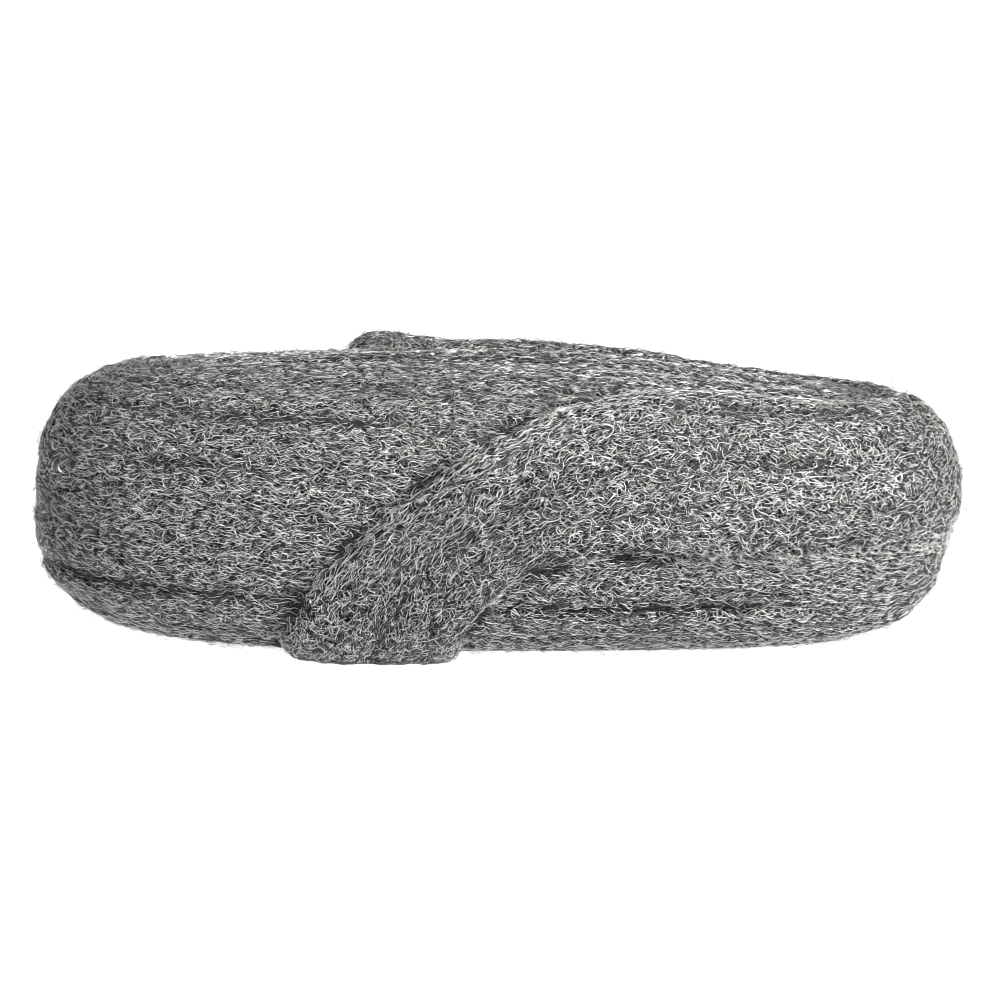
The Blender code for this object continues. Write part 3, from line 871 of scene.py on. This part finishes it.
def fibre_mesh(name, rng, paths, out, finishes):
    """One mesh of closed three-sided tubes, pointed at both ends and twisting, each with its finish."""
    count, points = paths.shape[:2]
    way = unit(np.gradient(paths, axis=1))
    side = unit(np.cross(way, out))
    up = np.cross(side, way)
    half = rng.uniform(*FIBRE_THICKNESS, count)[:, None] / 2 * np.ones((1, points))
    angle = rng.uniform(0, FULL_TURN, count)[:, None]
    angle = angle + rng.normal(0, TWIST, count)[:, None] * np.linspace(-1, 1, points)
    rings = []
    for corner in range(3):
        turn = (angle + corner * 2 * np.pi / 3)[..., None]
        rings.append(paths + (side * np.cos(turn) + up * np.sin(turn)) * half[..., None])
    inner_rings = np.stack(rings, axis=2)[:, 1:-1].reshape(count, -1, 3)
    places = np.concatenate([inner_rings, paths[:, :1], paths[:, -1:]], axis=1)
    first_tip = inner_rings.shape[1]
    last_tip, last_ring = first_tip + 1, first_tip - 3
    triangles = []
    for corner in range(3):
        after = (corner + 1) % 3
        triangles.append((first_tip, after, corner))
        for ring in range(0, last_ring, 3):
            here, there = ring + corner, ring + after
            triangles += [(here, there, there + 3), (here, there + 3, here + 3)]
        triangles.append((last_ring + corner, last_ring + after, last_tip))
    corners_of_all = np.array(triangles)[None] + (np.arange(count) * places.shape[1])[:, None, None]
    faces = corners_of_all.reshape(-1, 3)
    mesh = bpy.data.meshes.new(name)
    mesh.vertices.add(count * places.shape[1])
    mesh.vertices.foreach_set("co", places.ravel())
    mesh.loops.add(faces.size)
    mesh.loops.foreach_set("vertex_index", faces.ravel())
    mesh.polygons.add(len(faces))
    mesh.polygons.foreach_set("loop_start", np.arange(0, faces.size, 3))
    mesh.polygons.foreach_set("material_index", np.repeat(finishes, len(triangles)))
    mesh.update(calc_edges=True)
    piece = bpy.data.objects.new(name, mesh)
    bpy.context.scene.collection.objects.link(piece)
    return piece


# %% [markdown]
# ## The fibres' finishes
#
# A shaving is bright on the side that the blade cut, grey where the wire's old skin is left, and darker
# where oil and the first rust have dulled it. Each is plain steel with its own brightness and roughness.
# The dullest also serves as painted shade in the hollows, and the brightest as a painted highlight along
# the taut edge.


# %% Steel finishes
def fibre_steel(name, hex_colour, roughness):
    material, shader = new_material(name)
    shader.inputs["Base Color"].default_value = linear(hex_colour)
    shader.inputs["Metallic"].default_value = 1.0
    shader.inputs["Roughness"].default_value = roughness
    return material


STEELS = [
    fibre_steel("bright_cut_steel_and_painted_highlight", "#ececeb", 0.32),
    fibre_steel("shaved_mild_steel", "#dcdcdb", 0.36),
    fibre_steel("grey_wire_skin_steel", "#949492", 0.45),
    fibre_steel("oiled_steel_and_painted_shade", "#4a4a49", 0.50),
]
print("steels:", [steel.name for steel in STEELS])

# %% [markdown]
# Four layers make the depth. The inner ones lie close and straight, the outer ones curl more and stand off
# further. In the hollows more of the fibres get the dullest steel as painted shade, and along the taut edge
# more get the brightest steel as a painted highlight.

# %% Four layers of fibres, from the inside out
PAINTED_HIGHLIGHT_STEEL, PAINTED_SHADE_STEEL = 0, len(STEELS) - 1
PAINTED_SHADE_IN_HOLLOWS, PAINTED_HIGHLIGHT_WHERE_TAUT = 0.6, 0.7
# For each layer: a seed, how many fibres, their lengths in metres, then swing, curl and stray in radians,
# their height in metres, and the shares of the four steels.
LAYERS = {
    "inner_fibres": (101, 11000, (0.006, 0.009), 0.3, 0.9, 0.45, 0.0002, (0.38, 0.30, 0.15, 0.17)),
    "laid_fibres": (102, 11000, (0.006, 0.010), 0.3, 0.9, 0.40, 0.0003, (0.48, 0.25, 0.11, 0.16)),
    "curled_fibres": (103, 11000, (0.005, 0.008), 0.4, 1.4, 0.60, 0.0005, (0.52, 0.23, 0.10, 0.15)),
    "loose_fibres": (104, 11000, (0.005, 0.009), 0.4, 1.1, 0.70, 0.0010, (0.56, 0.22, 0.08, 0.14)),
}
FIBRE_POINTS = 5

for name, (seed, count, length, swing, curl, stray, height, shares) in LAYERS.items():
    rng = np.random.default_rng(seed)
    paths, out, hollow, taut_highlight = fibre_paths(rng, count, FIBRE_POINTS, length, swing, curl, stray, height)
    finishes = rng.choice(len(STEELS), count, p=shares)
    # Painted shade: in the hollows more fibres take the dullest steel.
    finishes = np.where(rng.random(count) < PAINTED_SHADE_IN_HOLLOWS * hollow, PAINTED_SHADE_STEEL, finishes)
    # Painted highlight: along the taut edge more fibres take the brightest steel.
    finishes = np.where(rng.random(count) < PAINTED_HIGHLIGHT_WHERE_TAUT * taut_highlight, PAINTED_HIGHLIGHT_STEEL, finishes)
    piece = fibre_mesh(name, rng, paths, out, finishes)
    for steel in STEELS:
        piece.data.materials.append(steel)
    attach(piece, "root")
    print(name, "has", count, "fibres and", len(piece.data.polygons), "triangles")

# %% [markdown]
# ## The studio
#
# The photograph has a pale ground and soft light, stronger from the upper right, so that the left end is
# the darkest. The ground shows no shadow, as on a light table, so the floor is matt opal glass, lit evenly
# from beneath. It reaches 400 m each way, so that its far edge lies close to the horizon, and it lies half a
# millimetre low, so that it and the level underside don't share a plane.

# %% Floor
FLOOR_HALF, FLOOR_BELOW = 400.0, 0.0005
floor_mesh = bpy.data.meshes.new("floor")
floor_corners = [(x * FLOOR_HALF, y * FLOOR_HALF, 0) for x, y in ((-1, -1), (1, -1), (1, 1), (-1, 1))]
floor_mesh.from_pydata(floor_corners, [], [(0, 1, 2, 3)])
floor = bpy.data.objects.new("floor", floor_mesh)
bpy.context.scene.collection.objects.link(floor)
table, table_shader = new_material("matt_opal_glass")
table_shader.inputs["Base Color"].default_value = linear("#808080")
table_shader.inputs["Roughness"].default_value = 0.9
table_shader.inputs["Emission Color"].default_value = linear("#ffffff")
table_shader.inputs["Emission Strength"].default_value = 1.0
floor.data.materials.append(table)
floor.location.z = -FLOOR_BELOW
print("the floor is", 2 * FLOOR_HALF, "m wide")

# %% [markdown]
# A small sun from the upper right makes the fibres glint and the crevices dark. A very wide, weak one
# lightens the front, and an even, pale sky fills the rest.

# %% Sky and sun
world = bpy.data.worlds.new("pale_sky")
bpy.context.scene.world = world
world.use_nodes = True
world.node_tree.nodes["Background"].inputs["Color"].default_value = linear("#ffffff")
world.node_tree.nodes["Background"].inputs["Strength"].default_value = 0.34


def add_sun(name, strength, from_where, width):
    """A sun that shines from that direction, as wide across the sky as the given angle in degrees."""
    light = bpy.data.lights.new(name, "SUN")
    light.energy = strength
    light.angle = math.radians(width)
    lamp = bpy.data.objects.new(name, light)
    lamp.rotation_mode = "QUATERNION"
    lamp.rotation_quaternion = Vector(from_where).to_track_quat("Z", "Y")
    bpy.context.scene.collection.objects.link(lamp)


add_sun("key", 7.8, (0.73, -0.56, 0.61), 8)
add_sun("front_fill", 0.8, (0.10, -0.90, 0.45), 60)

# %% [markdown]
# The photograph shows a little of the top, as a long lens does that looks down by 12 degrees. It is crisp
# down to single fibres, so the picture's own smoothing filter is kept narrow.

# %% Camera
bpy.context.scene.cycles.filter_width = 0.9
CAMERA_HEIGHT_ANGLE = math.radians(12.0)
LENS, SENSOR, SEEN_WIDTH = 90.0, 36.0, 0.518
AIM = Vector((0.0002, 0.0, 0.071))
distance = LENS * SEEN_WIDTH / SENSOR
back = Vector((0, -math.cos(CAMERA_HEIGHT_ANGLE), math.sin(CAMERA_HEIGHT_ANGLE)))
camera = bpy.data.objects.new("camera", bpy.data.cameras.new("camera"))
bpy.context.scene.collection.objects.link(camera)
camera.data.lens, camera.data.sensor_width = LENS, SENSOR
camera.location = AIM + back * distance
camera.rotation_mode = "QUATERNION"
camera.rotation_quaternion = back.to_track_quat("Z", "Y")
camera.data.clip_end = 1000
bpy.context.scene.camera = camera
bpy.context.scene.view_settings.view_transform = "Standard"
print(f"the camera stands {distance:.3f} m away")
